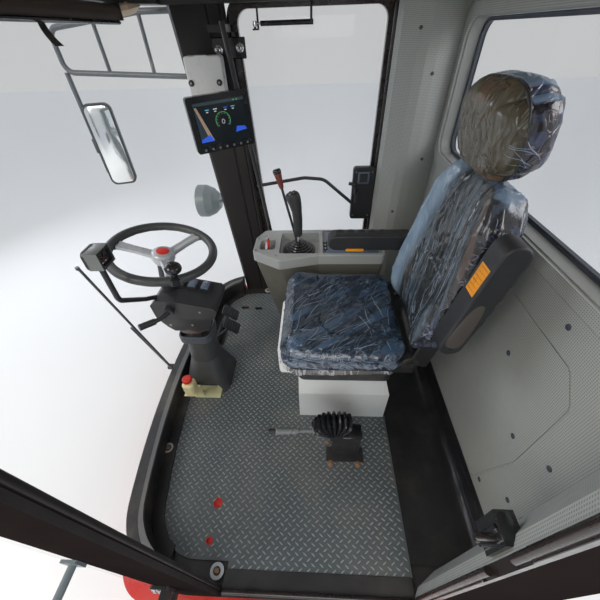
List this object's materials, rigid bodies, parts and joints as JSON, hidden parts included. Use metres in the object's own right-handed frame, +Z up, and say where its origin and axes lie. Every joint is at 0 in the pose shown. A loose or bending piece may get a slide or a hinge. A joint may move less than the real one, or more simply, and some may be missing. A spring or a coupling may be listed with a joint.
{
  "type": "forage harvester operator's cab",
  "caption": "Glazed operator's cab of a forage harvester, one door open, with sprung seat, steering column and wheel, side console, display, outside mirrors and roof.",
  "frame": {"origin": "centre of the bolt holes in the rubber mounts, on their lower face", "axes": "+X the driving direction, +Y the driver's left, +Z up"},
  "size_m": [1.979, 2.653, 1.945],
  "materials": {
    "frame_paint": "gloss",
    "roof_paint": "gloss",
    "mount_rubber": "matt",
    "floor_paint": "satin",
    "tread_mat": "matt",
    "smooth_mat": "gloss",
    "kerb_rubber": "satin",
    "screen_glass": "gloss",
    "side_glass": "gloss",
    "pillar_trim": "satin",
    "rail_paint": "satin",
    "wall_trim": "satin",
    "liner_cloth": "matt",
    "blind_cloth": "matt",
    "door_paint": "satin",
    "black_plastic": "satin",
    "black_steel": "satin",
    "strut_tube": "gloss",
    "strut_rod": "polished",
    "tube_paint": "satin",
    "lamp_shell": "satin",
    "column_plastic": "satin",
    "bottle_plastic": "satin",
    "cap_plastic": "satin",
    "console_plastic": "satin",
    "shell_plastic": "satin",
    "gaiter_rubber": "matt",
    "lever_plastic": "satin",
    "seat_paint": "satin",
    "carrier_paint": "satin",
    "apron_plastic": "satin",
    "seat_cloth": "matt",
    "orange_plastic": "satin",
    "relay_plastic": "satin"
  },
  "bodies": {
    "cab": {"base_frame": "frame_paint", "brake_bracket": "black_steel", "brake_gaiter": "gaiter_rubber", "brake_reservoir": "bottle_plastic", "column_base": "column_plastic", "console_body": "console_plastic", "console_shell": "shell_plastic", "control_levers": "lever_plastic", "display": "black_plastic", "display_pole": "black_steel", "door_sills": "floor_paint", "floor_mat": "tread_mat", "floor_pan": "floor_paint", "front_kerb": "kerb_rubber", "front_pillars": "pillar_trim", "headliner": "liner_cloth", "hinge_leaves": "black_steel", "lever_gate": "gaiter_rubber", "mirror_frames": "tube_paint", "mirror_heads": "black_plastic", "pedals": "black_steel", "rear_glass": "side_glass", "rear_mat": "smooth_mat", "rear_quarters": "wall_trim", "rear_shell": "frame_paint", "rear_trim": "wall_trim", "relay_case": "relay_plastic", "reservoir_cap": "cap_plastic", "roller_blind": "blind_cloth", "roof": "roof_paint", "rubber_mounts": "mount_rubber", "seat_base": "seat_paint", "seat_bellows": "gaiter_rubber", "top_rail": "rail_paint", "windscreen": "screen_glass", "wiper": "black_plastic", "work_lamps": "lamp_shell"},
    "column": {"column_head": "black_plastic", "instrument_box": "black_plastic"},
    "wheel": {"steering_wheel": "black_plastic"},
    "left_door": {"door_frame_left": "door_paint", "door_glass_left": "side_glass", "door_fittings_left": "black_plastic"},
    "right_door": {"door_frame_right": "door_paint", "door_glass_right": "side_glass", "door_fittings_right": "black_plastic"},
    "left_stay_tube": {"stay_tube_left": "strut_tube"},
    "left_stay_rod": {"stay_rod_left": "strut_rod"},
    "right_stay_tube": {"stay_tube_right": "strut_tube"},
    "right_stay_rod": {"stay_rod_right": "strut_rod"},
    "seat": {"seat_carrier": "carrier_paint", "seat_apron": "apron_plastic", "seat_cushion": "seat_cloth"},
    "backrest": {"seat_back": "seat_cloth", "headrest": "seat_cloth"},
    "left_arm": {"armrest_left": "black_plastic", "armrest_block_left": "orange_plastic"},
    "right_arm": {"armrest_right": "black_plastic", "armrest_block_right": "orange_plastic"}
  },
  "joints": [
    {"name": "column_tilt", "type": "hinge", "parent": "cab", "child": "column", "pos_m": [0.545, -0.05, 0.575], "axis": [0, 1, 0], "range_deg": [-25, 2]},
    {"name": "steering_wheel_turn", "type": "hinge", "parent": "column", "child": "wheel", "pos_m": [0.578, -0.05, 0.987], "axis": [-0.1908, 0, 0.9816], "continuous": true},
    {"name": "left_door_swing", "type": "hinge", "parent": "cab", "child": "left_door", "pos_m": [0.4, 0.868, 1], "axis": [0, 0, 1], "range_deg": [0, 90]},
    {"name": "right_door_swing", "type": "hinge", "parent": "cab", "child": "right_door", "pos_m": [0.4, -0.868, 1], "axis": [0, 0, 1], "range_deg": [0, 90]},
    {"name": "left_stay_swing", "type": "hinge", "parent": "cab", "child": "left_stay_tube", "pos_m": [0.02, 0.802, 1.63], "axis": [0, 0, 1], "range_deg": [-28.89, 0]},
    {"name": "left_stay_slide", "type": "slide", "parent": "left_stay_tube", "child": "left_stay_rod", "axis": [0.8468, 0.5319, 0], "range_m": [-0.1474, 0]},
    {"name": "right_stay_swing", "type": "hinge", "parent": "cab", "child": "right_stay_tube", "pos_m": [0.02, -0.802, 1.63], "axis": [0, 0, 1], "range_deg": [-28.89, 0]},
    {"name": "right_stay_slide", "type": "slide", "parent": "right_stay_tube", "child": "right_stay_rod", "axis": [0.9983, -0.0582, 0], "range_m": [0, 0.1474]},
    {"name": "seat_slide", "type": "slide", "parent": "cab", "child": "seat", "axis": [1, 0, 0], "range_m": [0, 0.15]},
    {"name": "backrest_recline", "type": "hinge", "parent": "seat", "child": "backrest", "pos_m": [-0.352, 0, 0.678], "axis": [0, 1, 0], "range_deg": [-4, 8]},
    {"name": "left_armrest_lower", "type": "hinge", "parent": "backrest", "child": "left_arm", "pos_m": [-0.405, 0.293, 0.89], "axis": [0, 1, 0], "range_deg": [0, 100.5]},
    {"name": "right_armrest_raise", "type": "hinge", "parent": "backrest", "child": "right_arm", "pos_m": [-0.405, -0.293, 0.89], "axis": [0, 1, 0], "range_deg": [-100.5, 0]}
  ],
  "couplings": [
    {"joint": "left_stay_swing", "follows": "left_door_swing", "ratio": -0.31992},
    {"joint": "left_stay_slide", "follows": "left_door_swing", "m_per_rad": -0.09353},
    {"joint": "right_stay_swing", "follows": "right_door_swing", "ratio": -0.31992},
    {"joint": "right_stay_slide", "follows": "right_door_swing", "m_per_rad": 0.09353}
  ]
}
